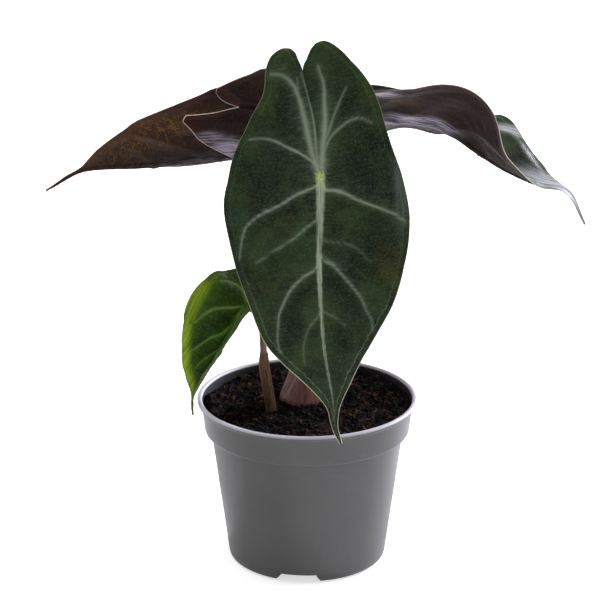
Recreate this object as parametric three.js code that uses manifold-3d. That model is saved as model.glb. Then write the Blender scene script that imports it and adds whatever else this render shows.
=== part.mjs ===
// A potted alocasia: three long arrow-shaped leaves and one small leaf on fleshy
// leaf stalks, growing from a corm in peat, in a grey plastic nursery pot.
// Millimetres, +Z up. The origin is the centre of the pot's flat base.
import * as THREE from 'three';
import { mergeVertices } from 'three/addons/utils/BufferGeometryUtils.js';
import Module from 'manifold-3d';

const wasm = await Module();
wasm.setup();

// ---- Driving dimensions ------------------------------------------------------------
const GAP = 0.3;                // clearance between touching pieces

const RIM_R = 60;               // outside radius of the pot's rim: a 12 cm pot
const POT_H = 92;
const FOOT_R = 43;              // outside radius of the wall just above the foot
const SHOULDER_R = 52.4;        // outside radius of the wall just below the collar
const SHOULDER_Z = 72.5;
const COLLAR_R = 57.4;          // outside radius of the collar near its top
const WALL = 1.3;
const FLOOR = 1.5;              // thickness of the pot's floor
const POT_SIDES = 60;

const NICHES = 3;               // drain niches round the foot
const NICHE_ANGLE = -97;        // middle of the first niche, in degrees from +X
const NICHE_WIDTH = 30;         // degrees
const NICHE_H = 4.5;
const NICHE_IN_R = 29;          // each niche reaches in from the wall to this radius
const DRAIN_R = 3.5;
const DRAIN_AT_R = 35;

const SOIL_Z = 86;              // mean level of the peat
const SOIL_ROUGH = 1.1;

const BASE_AT = [0, 15];        // where the stem base stands in the pot
const BASE_R = 15.3;            // its radius where it leaves the peat
const BASE_TOP_Z = 116;
const CORM_LOW_Z = 50;
const CORM_TOP_Z = 77;

const BLADE = 0.9;              // thickness of a leaf blade
const MIDRIB = 1.5;             // how far the midrib stands out under the blade
const SIDE_RIB = 0.6;           // how far each side rib stands out
const QUILT = 0.8;              // how far the blade bulges up between two side ribs
const CURL_WIDTH = 45;          // a station's curl is the turn over this much half-width

// ---- Colours -----------------------------------------------------------------------
const finish = (color, roughness) => new THREE.MeshStandardMaterial({
  color, roughness, metalness: 0, side: THREE.DoubleSide,
});
const POT_GREY = () => finish(0x5c5c5b, 0.45);
const PEAT = () => finish(0x1c140f, 0.95);
const CORM_BROWN = () => finish(0x5a3f2c, 0.85);
const SHEATH_PINK = () => finish(0x6b463d, 0.6);
const STALK_PINK = () => finish(0x725d58, 0.5);
const DRY_SHEATH = () => finish(0x4a3220, 0.85);
const DARK_LEAF = () => finish(0x25331f, 0.4);
const YOUNG_LEAF = () => finish(0x3f6a1c, 0.45);

// ---- Meshes and solids -------------------------------------------------------------
const rad = THREE.MathUtils.degToRad;

function geometryOf(points, faces) {
  const geometry = new THREE.BufferGeometry();
  geometry.setAttribute('position', new THREE.Float32BufferAttribute(points.flat(), 3));
  geometry.setIndex(faces.flat());
  return geometry;
}

function solid(geometry) {
  const bare = geometry.clone();
  bare.deleteAttribute('normal');
  bare.deleteAttribute('uv');
  const merged = mergeVertices(bare, 1e-4);
  return new wasm.Manifold(new wasm.Mesh({
    numProp: 3,
    vertProperties: new Float32Array(merged.attributes.position.array),
    triVerts: new Uint32Array(merged.index.array),
  }));
}

function fromSolid(manifold) {
  const mesh = manifold.getMesh();
  const geometry = new THREE.BufferGeometry();
  geometry.setAttribute('position', new THREE.BufferAttribute(mesh.vertProperties, 3));
  geometry.setIndex(new THREE.BufferAttribute(mesh.triVerts, 1));
  return geometry;
}

// A closed profile of [radius, height] turned round the Z axis.
function turned(profile, sides) {
  const points = profile.map(([r, z]) => new THREE.Vector2(r, z));
  return new THREE.LatheGeometry(points, sides).rotateX(Math.PI / 2);
}

// A smooth curve through keyed rows of numbers: cubic pieces whose slope at each key
// is the weighted mean of the slopes on its two sides.
function through(keys, rows) {
  const last = keys.length - 1;
  const slope = keys.slice(1).map((key, i) =>
    rows[i + 1].map((value, j) => (value - rows[i][j]) / (key - keys[i])));
  const bend = rows.map((row, i) => {
    if (i === 0) return slope[0];
    if (i === last) return slope[last - 1];
    const before = keys[i] - keys[i - 1];
    const after = keys[i + 1] - keys[i];
    return row.map((_, j) =>
      (slope[i - 1][j] * after + slope[i][j] * before) / (before + after));
  });
  return (at) => {
    let i = 0;
    while (i < last - 1 && at >= keys[i + 1]) i += 1;
    const step = keys[i + 1] - keys[i];
    const t = (at - keys[i]) / step;
    const near = 2 * t ** 3 - 3 * t ** 2 + 1;
    const nearBend = (t ** 3 - 2 * t ** 2 + t) * step;
    const farBend = (t ** 3 - t ** 2) * step;
    return rows[i].map((value, j) =>
      near * value + (1 - near) * rows[i + 1][j] + nearBend * bend[i][j] + farBend * bend[i + 1][j]);
  };
}

// ---- Leaf blades -------------------------------------------------------------------
// Each row of a half leaf is a line from the midrib to the margin, from the tip to the
// lobe: [along the midrib, away from it, along at the margin, away at the margin], all as
// shares of the leaf's length. Past the sinus the inner end follows the lobe's inner edge.
const FRONT_LEFT = [
  [0, 0, 0, 0.004], [0.085, 0, 0.066, 0.011], [0.15, 0, 0.108, 0.023], [0.235, 0, 0.178, 0.068],
  [0.34, 0, 0.266, 0.14], [0.44, 0, 0.36, 0.176], [0.55, 0, 0.46, 0.209], [0.64, 0, 0.58, 0.236],
  [0.7, 0, 0.69, 0.221], [0.74, 0, 0.765, 0.198], [0.8, 0, 0.843, 0.159], [0.86, 0, 0.9, 0.106],
  [0.931, 0, 0.951, 0.087], [0.963, 0.007, 0.979, 0.068], [0.981, 0.012, 0.99, 0.05],
  [0.99, 0.02, 0.994, 0.035],
];
const FRONT_RIGHT = [
  [0, 0, 0, 0.004], [0.085, 0, 0.066, 0.01], [0.15, 0, 0.107, 0.022], [0.235, 0, 0.177, 0.07],
  [0.34, 0, 0.267, 0.132], [0.44, 0, 0.352, 0.182], [0.55, 0, 0.458, 0.212], [0.64, 0, 0.568, 0.219],
  [0.7, 0, 0.66, 0.2], [0.74, 0, 0.75, 0.174], [0.8, 0, 0.84, 0.158], [0.86, 0, 0.905, 0.14],
  [0.931, 0, 0.955, 0.11], [0.966, 0.017, 0.983, 0.085], [0.987, 0.029, 0.996, 0.066],
  [0.995, 0.04, 0.998, 0.055],
];
const RIGHT_NEAR = [
  [0, 0, 0, 0.003], [0.085, 0, 0.065, 0.011], [0.15, 0, 0.122, 0.022], [0.235, 0, 0.178, 0.074],
  [0.34, 0, 0.262, 0.137], [0.44, 0, 0.346, 0.2], [0.55, 0, 0.467, 0.212], [0.64, 0, 0.581, 0.217],
  [0.7, 0, 0.682, 0.207], [0.74, 0, 0.762, 0.19], [0.79, 0, 0.822, 0.167], [0.85, 0, 0.868, 0.15],
  [0.905, 0, 0.897, 0.113], [0.944, 0.016, 0.933, 0.082], [0.962, 0.04, 0.961, 0.058],
];
const RIGHT_FAR = [
  [0, 0, 0, 0.003], [0.085, 0, 0.062, 0.007], [0.15, 0, 0.117, 0.016], [0.235, 0, 0.188, 0.068],
  [0.34, 0, 0.292, 0.122], [0.44, 0, 0.37, 0.186], [0.55, 0, 0.47, 0.21], [0.64, 0, 0.58, 0.221],
  [0.7, 0, 0.7, 0.208], [0.74, 0, 0.8, 0.183], [0.79, 0, 0.878, 0.155], [0.85, 0, 0.94, 0.13],
  [0.905, 0, 0.99, 0.1], [0.964, 0.019, 1.014, 0.069], [1.028, 0.03, 1.033, 0.047],
];
const LEFT_FAR = [
  [0, 0, 0, 0.003], [0.085, 0, 0.06, 0.01], [0.15, 0, 0.12, 0.028], [0.235, 0, 0.185, 0.072],
  [0.34, 0, 0.27, 0.13], [0.44, 0, 0.36, 0.18], [0.55, 0, 0.47, 0.212], [0.64, 0, 0.58, 0.222],
  [0.7, 0, 0.68, 0.21], [0.74, 0, 0.76, 0.188], [0.79, 0, 0.82, 0.16], [0.85, 0, 0.87, 0.14],
  [0.905, 0, 0.91, 0.115], [0.925, 0.016, 0.935, 0.085], [0.935, 0.034, 0.945, 0.06],
];
const LEFT_NEAR = [
  [0, 0, 0, 0.003], [0.085, 0, 0.06, 0.009], [0.15, 0, 0.116, 0.014], [0.235, 0, 0.185, 0.064],
  [0.34, 0, 0.268, 0.128], [0.44, 0, 0.36, 0.175], [0.55, 0, 0.471, 0.208], [0.64, 0, 0.58, 0.22],
  [0.7, 0, 0.7, 0.21], [0.74, 0, 0.8, 0.186], [0.79, 0, 0.88, 0.16], [0.85, 0, 0.94, 0.136],
  [0.905, 0, 0.99, 0.104], [0.96, 0.012, 1.019, 0.077], [1.01, 0.026, 1.041, 0.054],
];
const YOUNG = [
  [0, 0, 0, 0.004], [0.085, 0, 0.06, 0.007], [0.15, 0, 0.13, 0.022], [0.23, 0, 0.195, 0.096],
  [0.34, 0, 0.285, 0.18], [0.44, 0, 0.382, 0.234], [0.55, 0, 0.5, 0.265], [0.66, 0, 0.63, 0.276],
  [0.74, 0, 0.76, 0.264], [0.79, 0, 0.86, 0.241], [0.84, 0, 0.93, 0.19], [0.88, 0, 0.97, 0.145],
  [0.92, 0, 0.99, 0.105], [0.95, 0.02, 1, 0.075], [0.97, 0.035, 1, 0.055],
];
const SINUS_ROW = 12;           // the row that reaches the sinus
const RIB_ROWS = [4, 5, 6, 7, 9]; // the rows that a side rib follows

// Stations along each midrib, from the tip to the lobes: share of the length, the point,
// how far the upper side is rolled from facing up, the left and right half's fold towards
// the upper side, and the two halves' curl, in degrees. The front leaf hangs, so its roll
// counts from facing forward.
const LEAVES = {
  front: {
    left: FRONT_LEFT, right: FRONT_RIGHT, attach: 0.664, rows: 28, facing: [0, -1, 0],
    stations: [
      [0, 17.5, -67, 91.5, 0, 4, 4, 0, 0],
      [0.045, 14.5, -67, 100.5, 0, 5, 5, 0, 0],
      [0.1, 13.5, -66.5, 112.5, 0, 8, 8, 0, 0],
      [0.23, 9, -64, 140.5, 0, 9, 9, -6, -6],
      [0.44, 6, -55, 185, 0, 8, 8, -8, -8],
      [0.664, 6.5, -43, 229.5, 0, 7, 7, -8, -8],
      [0.8, 4, -36, 256, 0, 7, 7, -8, -8],
      [0.931, -2.5, -29, 282.5, 0, 6, 6, -8, -8],
      [1, -4.5, -25.5, 296, 0, 5, 5, -5, -5],
    ],
  },
  right: {
    left: RIGHT_NEAR, right: RIGHT_FAR, attach: 0.69, rows: 28,
    stations: [
      [0, 149, 8, 187.5, -21, 2, 18, -4, 0],
      [0.09, 139, 11, 205, -14, 9, 24, 0, 0],
      [0.17, 124, 15, 208, -5, 18, 27, 7, 0],
      [0.265, 105.5, 19, 215.5, -4, 31, 33, 5, 0],
      [0.35, 91, 23, 224.5, 9, 30, 25, 10, 0],
      [0.42, 78.5, 26, 232.5, 30, 17, 15, 4, 0],
      [0.54, 52, 29, 238.5, 34, 14, 15, -22, 0],
      [0.69, 14, 27, 239.7, 45, 8, 4, -35, 0],
      [0.905, -36, 25, 248, 60, 0, -12, -10, 0],
      [1, -58, 24, 249.5, 63, 0, -13, -5, 0],
    ],
  },
  left: {
    left: LEFT_FAR, right: LEFT_NEAR, attach: 0.69, rows: 28,
    stations: [
      [0, -149.5, 112, 174.3, 0, 20, 20, 0, 0],
      [0.11, -129, 108, 187, -25, 30, 22, 0, 0],
      [0.19, -115, 104, 190.4, -35, 30, 23, 0, 3],
      [0.3, -92, 98, 193, -42, 26, 19, 0, 0],
      [0.36, -80.5, 95, 195, -45, 28, 15, 0, 0],
      [0.47, -55.5, 89, 199.7, -47, 30, 18, 0, 0],
      [0.55, -42.5, 86, 201.7, -47, 34, 27, 0, -7],
      [0.69, -13.7, 81, 208.2, -49, 25, 27, 0, -4],
      [0.9, 25, 77, 224.8, -51, 18, 6, 0, 0],
      [1, 48.5, 75, 234, -53, 14, -1, 0, 0],
    ],
  },
  small: {
    left: YOUNG, right: YOUNG, attach: 0.77, rows: 22,
    stations: [
      [0, -62, -9, 84.3, 44, 10, 31, 0, 0],
      [0.1, -62, -8, 93.3, 42, 17, 61, 0, 0],
      [0.24, -56.5, -6, 104.7, 43, 24, 68, 0, 0],
      [0.37, -50.3, -4, 114.3, 46, 26, 70, 0, 0],
      [0.51, -44.3, -2, 125.3, 46, 24, 70, -7, 0],
      [0.63, -40, 0, 135, 43, 23, 68, -12, 0],
      [0.73, -35, 3, 142, 38, 21, 65, -15, 0],
      [0.86, -28.2, 9, 149, 29, 10, 44, -17, 0],
      [1, -22.2, 16, 157, 22, 3, 32, -18, 0],
    ],
  },
};

const UP = [0, 0, 1];

// The leaf's midrib, and the map from a flat place (share along, mm across) to space.
// Across the leaf the surface is an arc that starts at the fold angle and turns by the curl.
function leafSurface({ stations, facing = UP }) {
  const unrolled = new THREE.Vector3(...facing);
  const spine = through(stations.map((s) => s[0]), stations.map((s) => s.slice(1)));
  const point = (at) => new THREE.Vector3(...spine(at).slice(0, 3));
  const step = 0.001;
  let length = 0;
  for (let at = 0; at < 1 - step / 2; at += step) length += point(at).distanceTo(point(at + step));
  const frame = (at) => {
    const toTip = point(at - step).sub(point(at + step)).normalize();
    const [roll, foldLeft, foldRight, curlLeft, curlRight] = spine(at).slice(3).map(rad);
    const level = unrolled.clone().addScaledVector(toTip, -toTip.dot(unrolled)).normalize();
    const side = toTip.clone().cross(level);
    const face = level.multiplyScalar(Math.cos(roll)).addScaledVector(side, -Math.sin(roll));
    const left = toTip.clone().cross(face);
    return { face, left, fold: { 1: foldLeft, '-1': foldRight }, curl: { 1: curlLeft, '-1': curlRight } };
  };
  const place = (at, across, hand) => {
    const { face, left, fold, curl } = frame(at);
    const start = fold[hand];
    const turn = curl[hand] / CURL_WIDTH || 1e-5;
    const end = start + turn * across;
    return point(at)
      .addScaledVector(left, hand * (Math.sin(end) - Math.sin(start)) / turn)
      .addScaledVector(face, (Math.cos(start) - Math.cos(end)) / turn);
  };
  return { place, frame, point, length };
}

// Shares across a half leaf; the first stretch is the midrib.
const ACROSS = [0, 0.06, 0.22, 0.42, 0.64, 0.84, 1];

// A half row's relief: ribs on some rows, a bulge between them, both fading to the margin.
function relief(row, share) {
  const nearest = Math.min(...RIB_ROWS.map((rib) => Math.abs(row - rib)));
  const inside = row > RIB_ROWS[0] - 1 && row < RIB_ROWS.at(-1) + 1;
  const fade = Math.sin(Math.PI * Math.min(share * 1.1, 1));
  return {
    rib: nearest < 0.3 ? SIDE_RIB * (1 - share) : 0,
    bulge: inside ? QUILT * fade * (Math.min(nearest, 0.5) - 0.25) * 2 : 0,
  };
}

// A blade: the mid-surface as rows and columns of both halves, thickened along its
// normals, with the same triangles on the upper and the under side.
function blade(leaf) {
  const { place, length } = leafSurface(leaf);
  const points = [];
  const lifts = [];
  const drops = [];
  const faces = [];
  const lastKey = leaf.left.length - 1;
  const rowAt = Array.from({ length: leaf.rows + 1 }, (_, i) => i * lastKey / leaf.rows);
  const snap = rowAt.map((at) => (Math.abs(at - Math.round(at)) < 0.3 ? Math.round(at) : at));
  const spineIds = [];
  const add = (at, across, hand, up, down) => {
    points.push(place(at, across, hand));
    lifts.push(up);
    drops.push(down);
    return points.length - 1;
  };
  const tip = add(0, 0, 1, BLADE / 2, BLADE / 2);
  for (const [hand, table] of [[1, leaf.left], [-1, leaf.right]]) {
    const line = through(table.map((_, i) => i), table);
    const rows = snap.slice(1).map((row, i) => {
      const [inAt, inAway, outAt, outAway] = line(row);
      return ACROSS.map((share, j) => {
        if (j === 0 && row <= SINUS_ROW && hand === -1) return spineIds[i];
        const at = THREE.MathUtils.lerp(inAt, outAt, share);
        const away = Math.max(THREE.MathUtils.lerp(inAway, outAway, share), 0) * length;
        const { rib, bulge } = relief(row, share);
        const thick = BLADE / 2 * (1 - 0.25 * share);
        const keel = j === 0 && row <= SINUS_ROW ? MIDRIB * Math.min(1, 0.3 + row / 8) : 0;
        const id = add(at, away, hand, thick + bulge, thick + rib + keel - bulge);
        if (j === 0 && hand === 1) spineIds[i] = id;
        return id;
      });
    });
    const put = (a, b, c) => faces.push(hand === 1 ? [a, b, c] : [a, c, b]);
    for (let j = 0; j + 1 < ACROSS.length; j += 1) {
      put(tip, rows[0][j], rows[0][j + 1]);
      for (let i = 0; i + 1 < rows.length; i += 1) {
        put(rows[i][j], rows[i + 1][j], rows[i][j + 1]);
        put(rows[i + 1][j], rows[i + 1][j + 1], rows[i][j + 1]);
      }
    }
  }
  return thicken(points, lifts, drops, faces);
}

// Closes a surface into a slab: every point moves up and down along its own normal, and
// each open edge gets a wall.
function thicken(points, lifts, drops, faces) {
  const normals = points.map(() => new THREE.Vector3());
  for (const [a, b, c] of faces) {
    const across = points[b].clone().sub(points[a]).cross(points[c].clone().sub(points[a]));
    for (const id of [a, b, c]) normals[id].add(across);
  }
  normals.forEach((normal) => normal.normalize());
  const count = points.length;
  const moved = (sign, by) => points.map((point, i) =>
    point.clone().addScaledVector(normals[i], sign * by[i]).toArray());
  const all = [...moved(1, lifts), ...moved(-1, drops)];
  const walls = [];
  const edges = new Set(faces.flatMap(([a, b, c]) => [`${a},${b}`, `${b},${c}`, `${c},${a}`]));
  for (const edge of edges) {
    const [a, b] = edge.split(',').map(Number);
    if (edges.has(`${b},${a}`)) continue;
    walls.push([b, a, a + count], [b, a + count, b + count]);
  }
  const under = faces.map(([a, b, c]) => [a + count, c + count, b + count]);
  return geometryOf(all, [...faces, ...under, ...walls]);
}

// ---- Stalks ------------------------------------------------------------------------
// A round stalk along a smooth curve, its radius going evenly from foot to top, with flat ends.
function stalk(path, footR, topR, sides, steps) {
  const curve = new THREE.CatmullRomCurve3(path.map((p) => new THREE.Vector3(...p)));
  const rings = [];
  for (let i = 0; i <= steps; i += 1) {
    const at = curve.getPointAt(i / steps);
    const along = curve.getTangentAt(i / steps);
    const first = new THREE.Vector3(1, 0, 0).addScaledVector(along, -along.x).normalize();
    const second = along.clone().cross(first);
    const r = THREE.MathUtils.lerp(footR, topR, i / steps);
    rings.push(Array.from({ length: sides }, (_, k) => {
      const turn = 2 * Math.PI * k / sides;
      return at.clone().addScaledVector(first, r * Math.cos(turn))
        .addScaledVector(second, r * Math.sin(turn)).toArray();
    }));
  }
  return closedRings(rings);
}

// Joins closed rings of equal length into a body with flat caps.
function closedRings(rings) {
  const sides = rings[0].length;
  const faces = [];
  const middle = (ring) => [0, 1, 2].map((k) => ring.reduce((sum, p) => sum + p[k], 0) / sides);
  for (let i = 0; i + 1 < rings.length; i += 1) {
    for (let k = 0; k < sides; k += 1) {
      const a = i * sides + k;
      const b = i * sides + (k + 1) % sides;
      faces.push([a, b, b + sides], [a, b + sides, a + sides]);
    }
  }
  const points = [...rings.flat(), middle(rings[0]), middle(rings.at(-1))];
  const low = rings.length * sides;
  const top = (rings.length - 1) * sides;
  for (let k = 0; k < sides; k += 1) {
    const next = (k + 1) % sides;
    faces.push([low, next, k], [low + 1, top + k, top + next]);
  }
  return geometryOf(points, faces);
}

// A leaf's stalk: its last stretch meets the blade's midrib square on, from the under side.
function stalkTo(leaf, lowPoints, footR, topR, straight = 9) {
  const { point, frame } = leafSurface(leaf);
  const under = frame(leaf.attach).face.negate();
  const at = (distance) => point(leaf.attach).addScaledVector(under, distance).toArray();
  const start = BLADE / 2 + MIDRIB + GAP + 0.2;
  return stalk([...lowPoints, at(start + straight), at(start)], footR, topR, 10, 14);
}

// ---- The pot -----------------------------------------------------------------------
function pot() {
  const profile = [
    [0, 0], [FOOT_R - 2.3, 0], [FOOT_R - 1, 0.6], [FOOT_R - 0.2, 1.6], [FOOT_R + 0.2, 3],
    [SHOULDER_R, SHOULDER_Z], [SHOULDER_R + 0.6, SHOULDER_Z + 0.9],
    [SHOULDER_R + 2.8, SHOULDER_Z + 1.1], [SHOULDER_R + 3.6, SHOULDER_Z + 2.2],
    [COLLAR_R, POT_H - 5.5], [COLLAR_R + 0.6, POT_H - 3.2],
    [RIM_R - 0.4, POT_H - 2.4], [RIM_R, POT_H - 1.4], [RIM_R - 0.5, POT_H],
    [RIM_R - 2, POT_H], [COLLAR_R - 0.1, POT_H - 1.2], [COLLAR_R - WALL, POT_H - 6],
    [SHOULDER_R + 2.3, SHOULDER_Z + 3.4], [SHOULDER_R + 1.5, SHOULDER_Z + 2.4],
    [SHOULDER_R - 0.6, SHOULDER_Z + 2.2], [SHOULDER_R - WALL, SHOULDER_Z + 0.8],
    [FOOT_R - WALL + 0.3, 4], [FOOT_R - WALL - 0.4, 2.2], [FOOT_R - 3, FLOOR], [0, FLOOR],
  ];
  let body = solid(turned(profile, POT_SIDES));
  for (let i = 0; i < NICHES; i += 1) {
    const angle = NICHE_ANGLE + i * 360 / NICHES;
    body = body.add(sector(NICHE_IN_R - WALL, FOOT_R - WALL + 0.2, FLOOR / 2, NICHE_H + FLOOR,
      angle, NICHE_WIDTH + 4));
    body = body.subtract(sector(NICHE_IN_R, FOOT_R + 3, -1, NICHE_H, angle, NICHE_WIDTH));
    body = body.subtract(drain(angle));
  }
  return fromSolid(body);
}

// A block between two radii and two heights, as wide as an angle.
function sector(innerR, outerR, lowZ, highZ, angle, width) {
  const shape = new THREE.Shape();
  const from = rad(angle - width / 2);
  const to = rad(angle + width / 2);
  shape.absarc(0, 0, outerR, from, to, false);
  shape.absarc(0, 0, innerR, to, from, true);
  const block = new THREE.ExtrudeGeometry(shape, {
    depth: highZ - lowZ, bevelEnabled: false, curveSegments: 5,
  });
  return solid(block.translate(0, 0, lowZ));
}

function drain(angle) {
  const hole = new THREE.CylinderGeometry(DRAIN_R, DRAIN_R, 4 * NICHE_H, 12).rotateX(Math.PI / 2);
  return solid(hole.translate(DRAIN_AT_R * Math.cos(rad(angle)), DRAIN_AT_R * Math.sin(rad(angle)),
    NICHE_H));
}

// ---- Soil, corm and stem base ------------------------------------------------------
// The peat's lumps: a sum of waves of three sizes.
function lumps(x, y) {
  const broad = Math.sin(0.11 * x + 0.7) * Math.cos(0.13 * y - 0.4);
  const middle = 0.6 * Math.sin(0.31 * x - 0.22 * y + 1.1) * Math.cos(0.27 * y + 0.15 * x);
  const fine = 0.5 * Math.sin(0.83 * x + 0.3) * Math.sin(0.77 * y - 1.3);
  return SOIL_ROUGH * (broad + middle + fine);
}

// The inside of the pot's wall at a height, less the clearance.
function soilRadius(z) {
  const rise = (z - 4) / (SHOULDER_Z + 0.8 - 4);
  return THREE.MathUtils.lerp(FOOT_R - WALL + 0.3, SHOULDER_R - WALL, rise) - GAP;
}

function soil() {
  const sides = 44;
  const wall = [[36, NICHE_H + FLOOR + GAP], [soilRadius(NICHE_H + 3), NICHE_H + 3],
    [soilRadius(SHOULDER_Z), SHOULDER_Z], [SHOULDER_R - 1.2, SHOULDER_Z + 3.2],
    [SHOULDER_R + 1.2, SHOULDER_Z + 4.2], [SHOULDER_R + 2.1, SHOULDER_Z + 6],
    [COLLAR_R - WALL - GAP - 0.7, SOIL_Z - 1.5]];
  const ring = (r, height) => Array.from({ length: sides }, (_, k) => {
    const turn = 2 * Math.PI * k / sides;
    const [x, y] = [r * Math.cos(turn), r * Math.sin(turn)];
    return [x, y, height(x, y)];
  });
  const tops = [50, 44, 38, 32, 26, 20, 14, 8, 3];
  const rings = [
    ...wall.map(([r, z]) => ring(r, () => z)),
    ...tops.map((r) => ring(r, (x, y) => SOIL_Z + lumps(x, y))),
  ];
  const body = solid(closedRings(rings));
  const hole = turned([[0, CORM_LOW_Z - GAP], [9, CORM_LOW_Z - GAP], [13.3, 60], [BASE_R + GAP, CORM_TOP_Z],
    [BASE_R + GAP, SOIL_Z + 12], [0, SOIL_Z + 12]], 24);
  const sheathHole = stalk(SHEATH_PATH.map((p, i) => (i ? p : [p[0], p[1], p[2] - GAP])),
    SHEATH_FOOT_R + GAP, SHEATH_TOP_R + GAP, 12, 6);
  return fromSolid(body.subtract(solid(hole.translate(...BASE_AT, 0))).subtract(solid(sheathHole)));
}

function corm() {
  const profile = [[0, CORM_LOW_Z], [7, CORM_LOW_Z + 1], [12, 60], [13.8, 69], [13.4, CORM_TOP_Z - GAP],
    [0, CORM_TOP_Z - GAP]];
  return turned(profile, 20).translate(...BASE_AT, 0);
}

// The bundle of sheaths: round in the peat, then three overlapping sheaths that lean in
// and forward towards the leaf stalks.
function stemBase() {
  const sides = 30;
  const levels = [CORM_TOP_Z, SOIL_Z - 3, 90, 96, 103, 110, BASE_TOP_Z];
  const radii = through([CORM_TOP_Z, 86, 98, 108, BASE_TOP_Z], [[14.8], [14.9], [12.7], [10.6], [8.9]]);
  const rings = levels.map((z) => {
    const open = Math.max(z - SOIL_Z, 0) / (BASE_TOP_Z - SOIL_Z);
    return Array.from({ length: sides }, (_, k) => {
      const turn = 2 * Math.PI * k / sides;
      const r = radii(z)[0] * (1 + 0.09 * open * Math.cos(3 * turn + Math.PI / 2));
      return [BASE_AT[0] + r * Math.cos(turn), BASE_AT[1] + r * Math.sin(turn), z];
    });
  });
  return closedRings(rings);
}

// ---- The small leaf's stalk, with its dry sheath ------------------------------------
const SHEATH_FOOT_R = 2.9;
const SHEATH_TOP_R = 2.9;
const SHEATH_PATH = [[-18.3, -2, 66], [-19.7, -4, 86], [-21.6, -3.5, 100], [-23.4, -3, 113]];

// ---- The whole plant ---------------------------------------------------------------
const plant = new THREE.Group();

function piece(name, geometry, material) {
  const mesh = new THREE.Mesh(geometry, material);
  mesh.name = name;
  plant.add(mesh);
}

piece('pot', pot(), POT_GREY());
piece('soil', soil(), PEAT());
piece('corm', corm(), CORM_BROWN());
piece('stem_base', stemBase(), SHEATH_PINK());
for (const [name, leaf] of Object.entries(LEAVES)) {
  piece(`blade_${name}`, blade(leaf), name === 'small' ? YOUNG_LEAF() : DARK_LEAF());
}

const FOOT_Z = BASE_TOP_Z + GAP;
const FRONT_PATH = [[0.5, 10.5, FOOT_Z], [0.5, 10.5, FOOT_Z + 6], [3, -6, 170], [5, -22, 205]];
const RIGHT_PATH = [[4.2, 17.5, FOOT_Z], [4.2, 17.5, FOOT_Z + 6], [8, 17, 170], [11, 14, 205]];
const LEFT_PATH = [[-4.2, 17.5, FOOT_Z], [-4.2, 17.5, FOOT_Z + 6], [-9, 36, 160], [-12, 56, 185]];
piece('petiole_front', stalkTo(LEAVES.front, FRONT_PATH, 3.6, 2.4), STALK_PINK());
piece('petiole_right', stalkTo(LEAVES.right, RIGHT_PATH, 3.6, 2.4), STALK_PINK());
piece('petiole_left', stalkTo(LEAVES.left, LEFT_PATH, 3.6, 2.4), STALK_PINK());

const SMALL_PATH = [[-23.4, -3, 113 + GAP], [-23.8, -2, 122], [-24.8, 1.5, 131], [-28, 7, 137.5]];
piece('petiole_small', stalkTo(LEAVES.small, SMALL_PATH, 2.1, 1.4, 3), STALK_PINK());
piece('sheath_small', stalk(SHEATH_PATH, SHEATH_FOOT_R, SHEATH_TOP_R, 12, 6), DRY_SHEATH());

export default plant;
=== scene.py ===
"""A potted alocasia in a grey nursery pot, dressed for rendering. Lengths are in millimetres
until a mesh is made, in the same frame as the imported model: the origin is the centre of the
pot's base, +Z is up, and the photograph looks along +Y."""

import math

import bmesh
import bpy
import numpy as np
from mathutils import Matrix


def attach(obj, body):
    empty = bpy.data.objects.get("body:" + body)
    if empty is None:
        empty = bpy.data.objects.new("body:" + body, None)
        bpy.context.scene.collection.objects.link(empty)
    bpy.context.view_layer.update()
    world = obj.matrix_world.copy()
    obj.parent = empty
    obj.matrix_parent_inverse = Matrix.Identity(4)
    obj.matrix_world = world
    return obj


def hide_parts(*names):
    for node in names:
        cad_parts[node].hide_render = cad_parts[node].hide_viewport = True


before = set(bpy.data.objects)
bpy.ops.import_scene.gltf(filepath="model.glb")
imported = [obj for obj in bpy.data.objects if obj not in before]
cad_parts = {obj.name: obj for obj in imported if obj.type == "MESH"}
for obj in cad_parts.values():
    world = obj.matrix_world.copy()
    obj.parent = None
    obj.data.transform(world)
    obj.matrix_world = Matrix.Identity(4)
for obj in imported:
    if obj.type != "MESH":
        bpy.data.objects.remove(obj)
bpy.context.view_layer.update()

MM = 0.001
RNG = np.random.default_rng(7)


# ---- Small tools -------------------------------------------------------------------
def linear(colour):
    """An sRGB hex colour as linear RGBA."""
    s = np.array([int(colour[i:i + 2], 16) for i in (0, 2, 4)]) / 255
    return (*np.where(s <= 0.04045, s / 12.92, ((s + 0.055) / 1.055) ** 2.4).tolist(), 1.0)


def unit(v):
    return v / np.maximum(np.linalg.norm(v, axis=-1, keepdims=True), 1e-12)


def smooth(low, high, x):
    """0 below low and 1 above high, with a soft S between them."""
    t = np.clip((x - low) / (high - low), 0, 1)
    return t * t * (3 - 2 * t)


def through(keys, rows, at):
    """A smooth curve through keyed rows of numbers: cubic pieces whose slope at each key is
    the weighted mean of the slopes on its two sides."""
    keys, rows = np.asarray(keys, float), np.asarray(rows, float)
    at = np.asarray(at, float)
    width = np.diff(keys)
    slope = np.diff(rows, axis=0) / width[:, None]
    inner = (slope[:-1] * width[1:, None] + slope[1:] * width[:-1, None]) / (
        width[:-1] + width[1:])[:, None]
    bend = np.concatenate([slope[:1], inner, slope[-1:]])
    i = np.clip(np.searchsorted(keys, at, "right") - 1, 0, len(keys) - 2)
    t = ((at - keys[i]) / width[i])[..., None]
    step = width[i][..., None]
    return ((2 * t ** 3 - 3 * t ** 2 + 1) * rows[i] + (t ** 3 - 2 * t ** 2 + t) * step * bend[i]
            + (-2 * t ** 3 + 3 * t ** 2) * rows[i + 1] + (t ** 3 - t ** 2) * step * bend[i + 1])


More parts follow.
